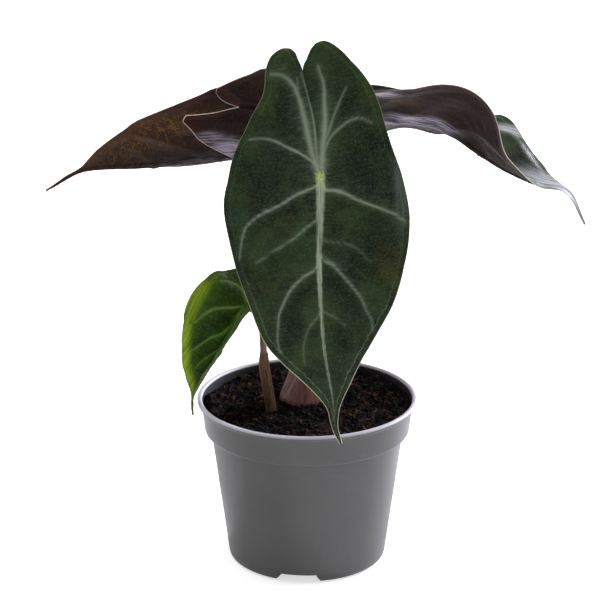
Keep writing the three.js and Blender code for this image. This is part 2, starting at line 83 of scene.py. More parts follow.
def rough(x, y, z=0.0, size=1.0, seed=0):
    """Smooth noise between -1 and 1: random values on a lattice of that size, blended by a
    soft S along each axis. A lattice point's value is the fraction of a large multiple of the
    sine of its coordinates."""
    p = np.stack(np.broadcast_arrays(x, y, z), -1) / size
    low = np.floor(p)
    f = p - low
    f = f * f * (3 - 2 * f)
    total = 0
    for corner in np.ndindex(2, 2, 2):
        spot = low + corner
        value = np.sin(spot @ np.array([127.1, 311.7, 74.7]) + 17.3 * seed) * 43758.5453
        weight = np.prod(np.where(np.array(corner) == 1, f, 1 - f), axis=-1)
        total = total + weight * (2 * (value - np.floor(value)) - 1)
    return total


def chords(points):
    """How far along a line of points each of them lies."""
    gaps = np.linalg.norm(np.diff(points, axis=0), axis=1)
    return np.concatenate([[0], np.cumsum(gaps)])


def quads(rows, columns, closed=False, start=0):
    """The faces of a grid of points that is stored row by row."""
    r, c = np.meshgrid(np.arange(rows - 1), np.arange(columns if closed else columns - 1),
                       indexing="ij")
    after = (c + 1) % columns
    a, b = r * columns + c, r * columns + after
    return (np.stack([a, b, b + columns, a + columns], -1) + start).reshape(-1, 4)


def capped(rings, sides):
    """The faces of a tube that is stored ring by ring, closed at both ends."""
    end = np.arange(sides)[None]
    return [quads(rings, sides, closed=True), end[:, ::-1], end + (rings - 1) * sides]


def make_piece(name, points, faces, finish, stands_for=(), facts=None, weld=0.0):
    """A mesh object from arrays: points in millimetres, faces as lists of point numbers, and
    facts as one number or three for each point. Points nearer than weld become one."""
    mesh = bpy.data.meshes.new(name)
    mesh.from_pydata((np.asarray(points).reshape(-1, 3) * MM).tolist(), [],
                     [face for block in faces for face in np.asarray(block).tolist()])
    for label, values in (facts or {}).items():
        values = np.asarray(values, float)
        vector = values.size == 3 * len(mesh.vertices)
        layer = mesh.attributes.new(label, "FLOAT_VECTOR" if vector else "FLOAT", "POINT")
        layer.data.foreach_set("vector" if vector else "value", values.ravel())
    if weld:
        shell = bmesh.new()
        shell.from_mesh(mesh)
        bmesh.ops.remove_doubles(shell, verts=shell.verts, dist=weld * MM)
        shell.to_mesh(mesh)
        shell.free()
    mesh.shade_smooth()
    mesh.materials.append(finish)
    piece = bpy.data.objects.new(name, mesh)
    bpy.context.scene.collection.objects.link(piece)
    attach(piece, "root")
    if stands_for:
        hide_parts(*stands_for)


# ---- Camera, light and floor -------------------------------------------------------
def studio():
    """The photograph's viewpoint, a pale floor, a soft top light, a soft light on each side
    and a narrow one behind each side, which draws the glare along the pot's outline."""
    scene = bpy.context.scene
    scene.view_settings.view_transform = "Standard"
    camera = bpy.data.objects.new("camera", bpy.data.cameras.new("camera"))
    camera.data.sensor_width = 36
    camera.data.lens = 168.66
    camera.location = (-0.0039, -1.4264, 0.6545)
    camera.rotation_euler = (math.radians(70.43), 0, 0)
    scene.collection.objects.link(camera)
    scene.camera = camera

    def softbox(name, size, place, aim, power, tone="ffffff"):
        light = bpy.data.lights.new(name, "AREA")
        light.color = linear(tone)[:3]
        light.shape = "RECTANGLE"
        light.size, light.size_y = size
        light.energy = power
        lamp = bpy.data.objects.new(name, light)
        lamp.location = place
        reach = np.array(place) - np.array(aim)
        lamp.rotation_euler = (math.acos(reach[2] / np.linalg.norm(reach)), 0,
                               math.atan2(reach[0], -reach[1]))
        scene.collection.objects.link(lamp)

    softbox("top_softbox", (1.6, 1.2), (0.0, 0.1, 1.7), (0, 0, 0.15), 15)
    softbox("right_strip", (0.16, 1.0), (0.85, 0.75, 0.4), (0, 0, 0.1), 36, "f0eeff")
    softbox("right_softbox", (0.5, 1.2), (1.4, 0.1, 0.7), (0, 0, 0.15), 6)
    softbox("left_strip", (0.08, 1.0), (-0.85, 0.75, 0.4), (0, 0, 0.1), 2, "f0eeff")
    softbox("left_softbox", (0.6, 1.2), (-1.5, -0.1, 0.7), (0, 0, 0.15), 0.8)

    world = bpy.data.worlds.new("studio")
    scene.world = world
    world.use_nodes = True
    tree = world.node_tree
    seen = add(tree, "LightPath", {}, 0)
    level = add(tree, "MapRange", {0: seen, 3: 0.36, 4: 1.0})
    feed(tree, tree.nodes["Background"], {"Strength": level, "Color": linear("ffffff")})

    paper, tree, shader = new_material("white_paper_floor")
    glow = add(tree, "MapRange", {0: add(tree, "LightPath", {}, 0), 3: 0.25, 4: 0.62})
    feed(tree, shader, {"Base Color": linear("f4f4f4"), "Roughness": 0.9,
                        "Specular IOR Level": 0.1, "Emission Color": linear("ffffff"),
                        "Emission Strength": glow})
    floor = bpy.data.meshes.new("floor")
    floor.from_pydata([(x, y, -0.0004) for x, y in ((-12, -12), (12, -12), (12, 12), (-12, 12))],
                      [], [(0, 1, 2, 3)])
    floor.materials.append(paper)
    ground = bpy.data.objects.new("floor", floor)
    scene.collection.objects.link(ground)


# ---- Finishes ----------------------------------------------------------------------
COLOUR = {"out": 2, "data_type": "RGBA"}      # Mix takes the share as 0, the colours as 6 and 7
SOFT = {"interpolation_type": "SMOOTHSTEP"}   # MapRange takes the value as 0, from 1..2 to 3..4


def feed(tree, node, sockets):
    """Sets a node's sockets, by name or number, to a value or to the output that feeds them."""
    for key, value in sockets.items():
        if isinstance(value, bpy.types.NodeSocket):
            tree.links.new(value, node.inputs[key])
        else:
            node.inputs[key].default_value = value


def add(tree, kind, sockets, out=0, **settings):
    """Adds a node with its settings and links, and returns its output with that number."""
    made = tree.nodes.new("ShaderNode" + kind)
    for key, value in settings.items():
        setattr(made, key, value)
    feed(tree, made, sockets)
    return made.outputs[out]


def new_material(name):
    """A new material, its node tree and its shader."""
    material = bpy.data.materials.new(name)
    material.use_nodes = True
    return material, material.node_tree, material.node_tree.nodes["Principled BSDF"]


def blade_finish(name, which, upper_gloss, under_gloss):
    """A living leaf blade: a thin waxy skin over soft, finely pebbled tissue. Its patterns use
    the leaf's own coordinates, in millimetres."""
    material, tree, shader = new_material(name)
    part = {label: add(tree, "Attribute", {}, 2, attribute_name=label) for label in (
        "veins", "halo", "midrib", "edge", "shine", "shade", "glow", "lit", "backlit", "pale",
        "under")}
    place = add(tree, "Attribute", {}, 1, attribute_name="leaf")
    tone = {key: linear(pair[which]) for key, pair in TONES.items()}

    # Clouds are about 25 mm across, with slow drifts of hue, spots 3 mm and flecks 1 mm. The
    # smallest veins, the hatching, run out from the midrib about 1 mm apart. Fibres and streaks
    # run along the leaf, about 0.6 mm and 1 mm wide.
    stretch = {"hatching": (0.16, 1.0, 1.0), "fibres": (1.7, 0.05, 1.0),
               "streaks": (1.0, 0.05, 1.0)}
    noise = {}
    for key, scale, detail, roughness, distortion in (
            ("clouds", 0.045, 5.0, 0.6, 0.4), ("spots", 0.33, 3.0, 0.6, 0.0),
            ("flecks", 0.95, 3.0, 0.65, 0.0), ("hatching", 1.0, 3.0, 0.6, 0.4),
            ("fibres", 1.0, 3.0, 0.6, 0.0), ("streaks", 1.0, 4.0, 0.6, 0.5)):
        drawn = add(tree, "Mapping", {0: place, 3: stretch.get(key, (1.0, 1.0, 1.0))})
        noise[key] = add(tree, "TexNoise", {"Vector": drawn, "Scale": scale, "Detail": detail,
                                            "Roughness": roughness, "Distortion": distortion})
    hue = add(tree, "SeparateColor", {0: noise["clouds"].node.outputs[1]}, 1)
    cells = add(tree, "TexVoronoi", {"Vector": place, "Scale": 0.6})
    # the collector vein wanders 2.6 to 4 mm inside the margin
    wander = add(tree, "MapRange", {0: noise["spots"], 1: 0.3, 2: 0.7, 3: 2.6, 4: 4.0})
    from_line = add(tree, "Math", {0: part["edge"], 1: wander}, operation="SUBTRACT")
    from_line = add(tree, "Math", {0: from_line}, operation="ABSOLUTE")

    # Shares of the layers: each a range of one pattern, from 1..2 to 3..4.
    for key, source, low, high, first, last in (
            ("cloudy", noise["clouds"], 0.36, 0.66, 0, 1), ("olive", hue, 0.52, 0.66, 0, 0.55),
            ("bluish", hue, 0.46, 0.34, 0, 0.5), ("mottled", noise["spots"], 0.5, 0.72, 0, 0.5),
            ("flecked", noise["flecks"], 0.48, 0.7, 0, 0.48),
            ("hatched", noise["hatching"], 0.4, 0.68, 0.1, 0.55),
            ("grained", noise["fibres"], 0.36, 0.6, 0.35, 1),
            ("golden", noise["flecks"], 0.38, 0.6, 0.08, 1),
            ("patchy", noise["spots"], 0.4, 0.6, 0.25, 1),
            ("streaked", noise["streaks"], 0.38, 0.58, 0.15, 1),
            ("blush", part["edge"], 0, 9, 0.6, 0), ("rim", part["edge"], 0.15, 0.5, 1, 0),
            ("collector", from_line, 0, 0.6, 0.6, 0)):
        part[key] = add(tree, "MapRange", {0: source, 1: low, 2: high, 3: first, 4: last}, **SOFT)
    # Then products of two, in this order: a later one uses what an earlier one has changed.
    # shine scales the pale rim and the collector vein: partly their own colour, partly painted
    # highlight.
    for key, first, second in (
            ("cloudy_gold", "backlit", 0.4), ("halo", "halo", "hatched"),
            ("midrib", "midrib", "grained"), ("backlit", "backlit", "golden"),
            ("lit", "lit", "grained"), ("pale", "pale", "streaked"), ("glow", "glow", "golden"),
            ("under_veins", "veins", 0.7), ("hatched", "hatched", 0.25),
            ("rim", "rim", "shine"), ("collector", "collector", "shine"),
            ("blotchy_gold", "backlit", "patchy"), ("green_gold", "backlit", 0.45)):
        part[key] = add(tree, "Math", {0: part[first], 1: part.get(second, second)},
                        operation="MULTIPLY")

    upper, under = tone["deep"], tone["under_deep"]
    # Upper side: the shade layer is painted shade, lit a painted highlight, the golden one painted
    # light shining through, and rim the pale margin with a painted highlight.
    for key, colour in (
            ("cloudy", "mid"), ("olive", "olive"), ("bluish", "bluish"), ("mottled", "mottle"),
            ("shade", "deep"), ("flecked", "fleck"), ("hatched", "fleck"),
            ("green_gold", "backlit"), ("halo", "halo"), ("collector", "collector"),
            ("lit", "lit"), ("veins", "vein"), ("midrib", "midrib"), ("glow", "glow"),
            ("rim", "rim")):
        upper = add(tree, "Mix", {0: part[key], 6: upper, 7: tone[colour]}, **COLOUR)
    # Under side: the golden layers are painted light shining through, pale is a painted glancing
    # reflection, and the rim a painted highlight.
    for key, colour in (
            ("cloudy", "under"), ("mottled", "under_mottle"), ("flecked", "under_fleck"),
            ("blush", "blush"), ("cloudy_gold", "under_gold"), ("blotchy_gold", "backlit"),
            ("under_veins", "under_vein"), ("pale", "pale"), ("rim", "under_rim_highlight")):
        under = add(tree, "Mix", {0: part[key], 6: under, 7: tone[colour]}, **COLOUR)
    colour = add(tree, "Mix", {0: part["under"], 6: upper, 7: under}, **COLOUR)

    gloss = add(tree, "MapRange", {0: part["under"], 3: upper_gloss, 4: under_gloss})
    uneven = add(tree, "MapRange", {0: noise["spots"], 1: 0.3, 2: 0.7, 3: -0.07, 4: 0.07})
    gloss = add(tree, "Math", {0: gloss, 1: uneven}, operation="ADD")
    relief = add(tree, "Math", {0: cells, 1: -0.4, 2: noise["flecks"]}, operation="MULTIPLY_ADD")
    relief = add(tree, "Math", {0: noise["hatching"], 1: 0.9, 2: relief}, operation="MULTIPLY_ADD")
    bump = add(tree, "Bump", {"Strength": 0.35, "Distance": 0.0003, "Height": relief})
    feed(tree, shader, {"Base Color": colour, "Roughness": gloss, "Normal": bump, "IOR": 1.42,
                        "Specular IOR Level": 0.16, "Sheen Weight": 0.02,
                        "Sheen Roughness": 0.4})
    return material


def pot_finish():
    """Injection-moulded grey polypropylene: satin, with a very fine mould grain and faint flow
    clouds; a painted highlight runs along the lip, painted shade darkens the crease under the
    collar, and the inner wall below the lip is nearly black and rougher."""
    material, tree, shader = new_material("moulded_grey_polypropylene")
    place = add(tree, "TexCoord", {}, 3)
    lip_highlight, inner_wall, collar_crease_shade = (add(tree, "Attribute", {}, 2, attribute_name=label)
                       for label in ("lip_highlight", "inner_wall", "collar_crease_shade"))
    clouds = add(tree, "TexNoise", {"Vector": place, "Scale": 22.0, "Detail": 4.0,
                                    "Roughness": 0.55})
    # the mould grain is about 0.2 mm; it is drawn at about 0.6 mm so that it shows
    grain = add(tree, "TexNoise", {"Vector": place, "Scale": 1700.0, "Detail": 3.0})
    flat = add(tree, "Mapping", {0: place, 3: (90.0, 90.0, 1400.0)})
    scuffs = add(tree, "TexNoise", {"Vector": flat, "Scale": 1.0, "Detail": 4.0,
                                    "Distortion": 0.4})
    colour = linear("444443")
    for share, tone in (
            (add(tree, "MapRange", {0: clouds, 1: 0.3, 2: 0.7}, **SOFT), "4c4c4b"),
            (add(tree, "MapRange", {0: grain, 1: 0.55, 2: 0.75, 4: 0.22}, **SOFT), "676766"),
            (add(tree, "MapRange", {0: scuffs, 1: 0.62, 2: 0.78, 4: 0.22}, **SOFT), "6e6e6d"),
            # painted shade in the crease below the collar, a painted highlight along the lip, and
            # the inner wall below the lip nearly black
            (collar_crease_shade, "3b3b3b"), (lip_highlight, "cfccd4"), (inner_wall, "060404")):
        colour = add(tree, "Mix", {0: share, 6: colour, 7: linear(tone)}, **COLOUR)
    gloss = add(tree, "MapRange", {0: clouds, 1: 0.3, 2: 0.7, 3: 0.36, 4: 0.46}, **SOFT)
    gloss = add(tree, "Math", {0: inner_wall, 1: 0.5, 2: gloss}, operation="MULTIPLY_ADD")
    bump = add(tree, "Bump", {"Strength": 0.2, "Distance": 0.0001, "Height": grain})
    feed(tree, shader, {"Base Color": colour, "Roughness": gloss, "Normal": bump, "IOR": 1.49})
    return material


def peat_finish():
    """Moist coarse peat: nearly black crumbs, with rusty ones and fibres among them."""
    material, tree, shader = new_material("moist_coarse_peat")
    place = add(tree, "TexCoord", {}, 3)
    tint = add(tree, "Attribute", {}, 2, attribute_name="tint")
    coarse = add(tree, "TexNoise", {"Vector": place, "Scale": 420.0, "Detail": 5.0,
                                    "Roughness": 0.65})
    fine = add(tree, "TexNoise", {"Vector": place, "Scale": 1500.0, "Detail": 4.0})
    colour = linear("020101")
    for share, tone in (
            (add(tree, "MapRange", {0: coarse, 1: 0.4, 2: 0.7}, **SOFT), "0d0805"),
            (add(tree, "MapRange", {0: fine, 1: 0.6, 2: 0.74, 4: 0.4}, **SOFT), "291b12"),
            (add(tree, "MapRange", {0: tint, 1: 0.35, 2: 1.0, 4: 0.9}, **SOFT), "66402c")):
        colour = add(tree, "Mix", {0: share, 6: colour, 7: linear(tone)}, **COLOUR)
    gloss = add(tree, "MapRange", {0: fine, 1: 0.3, 2: 0.7, 3: 0.6, 4: 1.0})
    both = add(tree, "Math", {0: coarse, 1: fine}, operation="ADD")
    bump = add(tree, "Bump", {"Strength": 0.8, "Distance": 0.0006, "Height": both})
    feed(tree, shader, {"Base Color": colour, "Roughness": gloss, "Normal": bump,
                        "Specular IOR Level": 0.08})
    return material


def stalk_finish(name, low, high, streak, spot, gloss):
    """A fleshy stalk under a thin cuticle: fine fibres run along it, with darker spots. Its own
    coordinates are round it and along it, in millimetres."""
    material, tree, shader = new_material(name)
    place = add(tree, "Attribute", {}, 1, attribute_name="leaf")
    rise = add(tree, "Attribute", {}, 2, attribute_name="rise")
    drawn = add(tree, "Mapping", {0: place, 3: (1.9, 0.08, 1.0)})
    fibres = add(tree, "TexNoise", {"Vector": drawn, "Scale": 1.0, "Detail": 4.0,
                                    "Roughness": 0.6})
    oval = add(tree, "Mapping", {0: place, 3: (0.6, 0.2, 1.0)})
    blotches = add(tree, "TexNoise", {"Vector": oval, "Scale": 1.0, "Detail": 5.0,
                                      "Roughness": 0.65, "Distortion": 0.5})
    colour = linear(low)
    for share, tone in (
            (rise, high),
            (add(tree, "MapRange", {0: fibres, 1: 0.42, 2: 0.66, 4: 0.65}, **SOFT), streak),
            (add(tree, "MapRange", {0: blotches, 1: 0.52, 2: 0.64, 4: 0.75}, **SOFT), spot)):
        colour = add(tree, "Mix", {0: share, 6: colour, 7: linear(tone)}, **COLOUR)
    bump = add(tree, "Bump", {"Strength": 0.6, "Distance": 0.0003, "Height": fibres})
    feed(tree, shader, {"Base Color": colour, "Roughness": gloss, "Normal": bump,
                        "Subsurface Weight": 0.1, "Subsurface Radius": (0.002, 0.001, 0.0006)})
    return material


# The tones of the dark and of the young blades. lit is a painted highlight, pale a painted
# glancing reflection on the under side, its rim a painted highlight and the golds painted light
# shining through the blade; the upper rim is the pale margin with a painted highlight, and deep
# also serves as the painted shade.
TONES = {
    "deep": ("080f06", "13250a"), "mid": ("293a1d", "325716"), "olive": ("363c1b", "4c6a1a"),
    "bluish": ("14251e", "22461a"), "mottle": ("313f28", "416518"), "fleck": ("4a5a41", "5b7d22"),
    "halo": ("5c6c56", "4c7222"), "vein": ("93a18b", "84a850"), "midrib": ("a9b69c", "4d6b22"),
    "glow": ("cbd873", "5d7a2c"), "rim": ("c3c6a6", "86a03a"), "collector": ("5a6b54", "557a1c"),
    "lit": ("d5d6df", "9db82a"), "backlit": ("6e4c22", "8da31e"), "under_deep": ("150a07", "33402a"),
    "under": ("24130d", "414c33"), "under_mottle": ("302018", "4c563c"),
    "under_fleck": ("433226", "5a6448"), "blush": ("43201b", "3c4630"),
    "under_gold": ("36240f", "4c561c"), "under_vein": ("120907", "565f44"),
    "under_rim_highlight": ("d0c8bd", "66704a"), "pale": ("c4bece", "5a5f50"),
}


# ---- Leaf blades -------------------------------------------------------------------
# Each row of a half leaf is a line from the midrib to the margin, from the tip to the lobe:
# along the midrib and away from it, at the inner and at the outer end, in shares of the
# leaf's length.
def half(inner, outer, lobe):
    """Rows whose inner ends lie on the midrib, then the rows past the sinus, where the inner
    end follows the lobe's inner edge."""
    return [(at, 0, *end) for at, end in zip(inner, outer)] + lobe


FRONT_ROWS = (0, .085, .15, .235, .34, .44, .55, .64, .7, .74, .8, .86, .931)
SIDE_ROWS = (0, .085, .15, .235, .34, .44, .55, .64, .7, .74, .79, .85, .905)
YOUNG_ROWS = (0, .085, .15, .23, .34, .44, .55, .66, .74, .79, .84, .88, .92)
FRONT_LEFT = half(FRONT_ROWS, [
    (0, .004), (.066, .011), (.108, .023), (.178, .068), (.266, .14), (.36, .176), (.46, .209),
    (.58, .236), (.69, .221), (.765, .198), (.843, .159), (.9, .106), (.951, .087)
], [(.958, .006, .975, .073), (.977, .011, .987, .058), (.99, .021, .9935, .043)])
FRONT_RIGHT = half(FRONT_ROWS, [
    (0, .004), (.066, .01), (.107, .022), (.177, .07), (.267, .132), (.352, .182), (.458, .212),
    (.568, .219), (.66, .2), (.75, .174), (.84, .158), (.905, .135), (.955, .11)
], [(.96, .014, .979, .091), (.981, .026, .992, .076), (.994, .039, .9985, .062)])
RIGHT_NEAR = half(SIDE_ROWS, [
    (0, .003), (.065, .011), (.122, .022), (.178, .074), (.262, .137), (.346, .2), (.467, .212),
    (.581, .217), (.682, .207), (.762, .19), (.822, .167), (.868, .15), (.897, .113)
], [(.944, .016, .933, .082), (.962, .04, .961, .058)])
RIGHT_FAR = half(SIDE_ROWS, [
    (0, .003), (.062, .007), (.117, .016), (.188, .068), (.292, .122), (.37, .186), (.47, .21),
    (.58, .221), (.7, .208), (.8, .183), (.878, .155), (.94, .13), (.99, .1)
], [(.964, .019, 1.014, .069), (1.028, .03, 1.033, .047)])
LEFT_FAR = half(SIDE_ROWS, [
    (0, .003), (.06, .01), (.12, .028), (.185, .072), (.27, .13), (.36, .18), (.47, .212),
    (.58, .222), (.68, .21), (.76, .188), (.82, .16), (.87, .14), (.91, .115)
], [(.925, .016, .935, .085), (.935, .034, .945, .06)])
LEFT_NEAR = half(SIDE_ROWS, [
    (0, .003), (.06, .009), (.116, .014), (.185, .064), (.268, .128), (.36, .175), (.471, .208),
    (.58, .22), (.7, .21), (.8, .186), (.88, .16), (.94, .136), (.99, .104)
], [(.96, .012, 1.019, .077), (1.01, .026, 1.041, .054)])
YOUNG = half(YOUNG_ROWS, [
    (0, .004), (.06, .007), (.13, .022), (.195, .096), (.285, .18), (.385, .236), (.502, .274),
    (.64, .301), (.755, .278), (.845, .245), (.915, .205), (.965, .155), (.99, .105)
], [(.95, .02, 1, .075), (.97, .035, 1, .055)])
SINUS_ROW = len(FRONT_ROWS) - 1
SINUS_AT = FRONT_ROWS[-1]

# The main side veins: half-width at the midrib in millimetres, strength, and points in shares
# of the leaf's length: along the midrib, away from it.
LEFT_VEINS = [
    (.9, 1, [(.693, .003), (.714, .026), (.733, .05), (.751, .077), (.766, .097), (.779, .118),
        (.785, .143), (.787, .165)]),
    (1.1, .85, [(.65, .003), (.641, .014), (.621, .059), (.599, .089), (.583, .115), (.57, .139),
        (.555, .159), (.534, .179), (.51, .188), (.463, .194)]),
    (.6, .5, [(.56, .003), (.539, .03), (.517, .053), (.5, .076), (.482, .105), (.454, .153)]),
    (.9, .72, [(.445, .003), (.435, .01), (.424, .028), (.409, .05), (.392, .068), (.374, .081),
        (.334, .103), (.301, .109), (.272, .112), (.247, .109)]),
    (.8, .3, [(.33, .003), (.32, .01), (.295, .033), (.255, .05), (.215, .053)]),
    (3, .75, [(.69, .006), (.719, .014), (.764, .021), (.818, .024), (.865, .024), (.904, .03),
        (.929, .051), (.936, .078)]),
    (1.8, .6, [(.7, .003), (.742, .006), (.794, .003), (.873, .001), (.927, .004)]),
    (1.2, .45, [(.764, .021), (.832, .023), (.886, .021), (.916, .017)]),
]
RIGHT_VEINS = [
    (.9, .6, [(.71, .004), (.736, .018), (.761, .03), (.777, .049), (.792, .074), (.798, .094),
        (.797, .113), (.785, .137)]),
    (1.3, .95, [(.645, .003), (.633, .012), (.631, .036), (.624, .06), (.613, .081), (.603, .108),
        (.592, .141), (.58, .177), (.561, .208)]),
    (.6, .25, [(.515, .003), (.503, .023), (.501, .062), (.483, .098), (.453, .125)]),
    (.9, .6, [(.465, .003), (.455, .015), (.441, .038), (.413, .061), (.385, .084), (.358, .102),
        (.33, .111), (.306, .123), (.278, .122)]),
    (.6, .35, [(.47, .003), (.462, .015), (.45, .033), (.432, .065)]),
    (.7, .25, [(.34, .003), (.328, .013), (.317, .033), (.296, .058)]),
    (2.8, .8, [(.69, .005), (.743, .012), (.79, .022), (.844, .033), (.887, .043), (.936, .039)]),
    (1.5, .5, [(.743, .012), (.777, .029), (.811, .048), (.841, .072), (.867, .095)]),
]
YOUNG_VEINS = [
    (.8, .9, [(.74, .003), (.702, .041), (.668, .093), (.635, .142), (.592, .183), (.54, .21)]),
    (.8, .9, [(.6, .003), (.557, .024), (.524, .047), (.489, .082), (.445, .105), (.389, .132),
        (.34, .15)]),
    (.8, .5, [(.45, .003), (.42, .02), (.37, .045), (.31, .065), (.25, .07)]),
    (1.1, .7, [(.77, .003), (.8, .045), (.82, .1), (.81, .15), (.77, .2)]),
    (1.1, .7, [(.77, .003), (.85, .03), (.91, .055), (.95, .07)]),
]

# Stations along each midrib, from the tip to the lobes: share of the length, the point, how
# far the upper side is rolled from facing up, the left and the right half's fold towards the
# upper side, and the two halves' curl, in degrees. The front leaf hangs, so its roll counts
# from facing forward. attach is where the stalk meets the midrib, rows are the grid's rows
# down to the sinus and past it, and shine is how bright the thin pale rim and its painted
# highlight are, keyed along the leaf. shade patches are painted shade and lit ones painted
# highlights (sheen and glare) on the upper side; on the under side the golden ones are painted
# light shining through the blade and the pale ones a painted glancing reflection. Each gives:
# along the leaf, across it in millimetres (left is positive), how far it reaches along and
# across, and how strong it is. Patches counted across from the left margin are painted
# highlights on the rim.
LEAVES = {
    "front": dict(
        left=FRONT_LEFT, right=FRONT_RIGHT, attach=.664, rows=(215, 44), columns=78,
        shine=((0, .25, .45, 1), (1, 1, .3, .3)),
        shade=[(.68, 28, 17, 11, .6), (.33, 15, 17, 7, .6), (.7, -20, 16, 14, .6),
               (.37, -14, 16, 8, .6), (.88, -20, 18, 8, .6), (.52, -32, 20, 10, .4),
               (.2, -8, 16, 8, .4)],
        facing=(0, -1, 0),
        stations=[
            (0, 17.5, -67, 91.5, 0, 4, 4, 0, 0), (.045, 14.5, -67, 100.5, 0, 5, 5, 0, 0),
            (.1, 13.5, -66.5, 112.5, 0, 8, 8, 0, 0), (.23, 9, -64, 140.5, 0, 9, 9, -6, -6),
            (.44, 6, -55, 185, 0, 8, 8, -8, -8), (.664, 6.5, -43, 229.5, 0, 7, 7, -8, -8),
            (.8, 4, -36, 256, 0, 7, 7, -8, -8), (.931, -2.5, -29, 282.5, 0, 6, 6, -8, -8),
            (1, -4.5, -25.5, 296, 0, 5, 5, -5, -5)],
        veins=(LEFT_VEINS, RIGHT_VEINS), backlit=[(.45, -36, 14, 8, .35)], pale=[],
        lit=[(.68, -42, 28, 4, .1)]),
    "right": dict(
        left=RIGHT_NEAR, right=RIGHT_FAR, attach=.69, rows=(180, 36), columns=60,
        shine=((0, .3, .45, .86, .93), (1, 1, .3, .3, 1)), shade=[(.23, -12, 12, 6, .7)],
        stations=[
            (0, 149, 8, 187.5, -21, 2, 18, -4, 0), (.09, 139, 11, 205, -14, 9, 24, 0, 0),
            (.17, 124, 15, 208, -5, 18, 27, 7, 0), (.265, 105.5, 19, 215.5, -4, 31, 33, 5, 0),
            (.35, 91, 23, 224.5, 9, 30, 25, 10, 0), (.42, 78.5, 26, 232.5, 30, 17, 15, 4, 0),
            (.54, 52, 29, 238.5, 34, 14, 15, -22, 0), (.69, 14, 27, 239.7, 45, 8, 4, -35, 0),
            (.905, -36, 25, 248, 60, 0, -12, -10, 0), (1, -58, 24, 249.5, 63, 0, -13, -5, 0)],
        veins=(LEFT_VEINS, RIGHT_VEINS), backlit=[(.55, 24, 9, 6, .5)],
        lit=[(.12, -3, 24, 6, 1), (.2, 3, 12, 6, 1), (.3, -26, 14, 3.5, .9)],
        pale=[(.5, 4, 18, 4.5, .9), (.6, -2, 16, 7, .9), (.62, 36, 12, 6, 1),
              (.97, -21, 8, 4, .5), (.92, -27, 12, 6, .75)]),
    "left": dict(
        left=LEFT_FAR, right=LEFT_NEAR, attach=.69, rows=(180, 36), columns=60,
        shine=((0, 1), (.1, .1)), shade=[],
        stations=[
            (0, -149.5, 112, 174.3, 0, 20, 20, 0, 0), (.11, -129, 108, 187, -25, 30, 22, 0, 0),
            (.19, -115, 104, 190.4, -35, 30, 23, 0, 3), (.3, -92, 98, 193, -42, 26, 19, 0, 0),
            (.36, -80.5, 95, 195, -45, 28, 15, 0, 0), (.47, -55.5, 89, 199.7, -47, 30, 18, 0, 0),
            (.55, -42.5, 86, 201.7, -47, 34, 27, 0, -7),
            (.69, -13.7, 81, 208.2, -49, 25, 27, 0, -4), (.9, 25, 77, 224.8, -51, 18, 6, 0, 0),
            (1, 48.5, 75, 234, -53, 14, -1, 0, 0)],
        veins=(LEFT_VEINS, RIGHT_VEINS), lit=[], pale=[(.5, 18, 46, 16, 1)],
        backlit=[(.42, -28, 30, 9, .85), (.3, -18, 24, 9, .6), (.52, -20, 14, 12, .7),
              (.22, -8, 20, 8, .4)]),
    "small": dict(
        left=YOUNG, right=YOUNG, attach=.77, rows=(120, 28), columns=44,
        shine=((0, 1), (.4, .4)),
        shade=[(.82, 6, 26, 12, .8), (.55, 5, 26, 6, .5), (.93, 17, 10, 10, .9),
               (.45, -14, 50, 11, .75)],
        stations=[
            (0, -62, -9, 84.3, 44, 10, 31, 0, 0), (.1, -62, -8, 93.3, 42, 17, 61, 0, 0),
            (.24, -56.5, -6, 104.7, 43, 24, 68, 0, 0), (.37, -50.3, -4, 114.3, 46, 26, 70, 0, 0),
            (.51, -44.3, -2, 125.3, 46, 24, 70, -7, 0), (.63, -40, 0, 135, 43, 23, 68, -12, 0),
            (.73, -35, 3, 142, 38, 21, 65, -15, 0), (.86, -28.2, 9, 149, 29, 10, 44, -17, 0),
            (1, -22.2, 16, 157, 22, 3, 32, -18, 0)],
        veins=(YOUNG_VEINS, YOUNG_VEINS), lit=[], backlit=[], pale=[(.45, -12, 45, 14, .6)],
        rim_highlights=[(.38, 2, 28, 3.2, 1), (.62, 3, 12, 4, .8)]),
}
BLADE = 0.9             # thickness at the midrib; the margin has a third of it
CURL_WIDTH = 45         # the tables give the curl as the turn over this width
FRONT_LENGTH = 213      # the front leaf's length, which the widths and bulges are given for
LINE_POINTS = 22        # points of the smooth line that stands for a vein
LEAST_VEIN = 0.8        # least half-width of a vein
LOBE_BOW = 0.0012       # how far the rows past the sinus bow outwards, as a share
LOBE_END = 0.075        # how far the margin's band reaches in from the lobe's end, as a share
PILLOW = 1.5            # how far the blade bulges between its veins
FAR = 99                # a distance at which no margin and no vein shows


def station(leaf, at):
    """The midrib's point and directions at each share of the length: towards the tip, out of
    the upper side, and to the left seen from above; and the folds and curls in radians."""
    table = np.array(leaf["stations"])

    def spine(where):
        return through(table[:, 0], table[:, 1:], where)

    middle = spine(at)
    to_tip = unit(spine(at - 0.001)[..., :3] - spine(at + 0.001)[..., :3])
    unrolled = np.array(leaf.get("facing", (0, 0, 1)), float)
    level = unit(unrolled - to_tip * (to_tip @ unrolled)[..., None])
    side = np.cross(to_tip, level)
    roll = np.radians(middle[..., 3:4])
    face = level * np.cos(roll) - side * np.sin(roll)
    return middle[..., :3], to_tip, face, np.cross(to_tip, face), np.radians(middle[..., 4:])


def length_of(leaf):
    points = station(leaf, np.linspace(0, 1, 1001))[0]
    return np.linalg.norm(np.diff(points, axis=0), axis=1).sum()


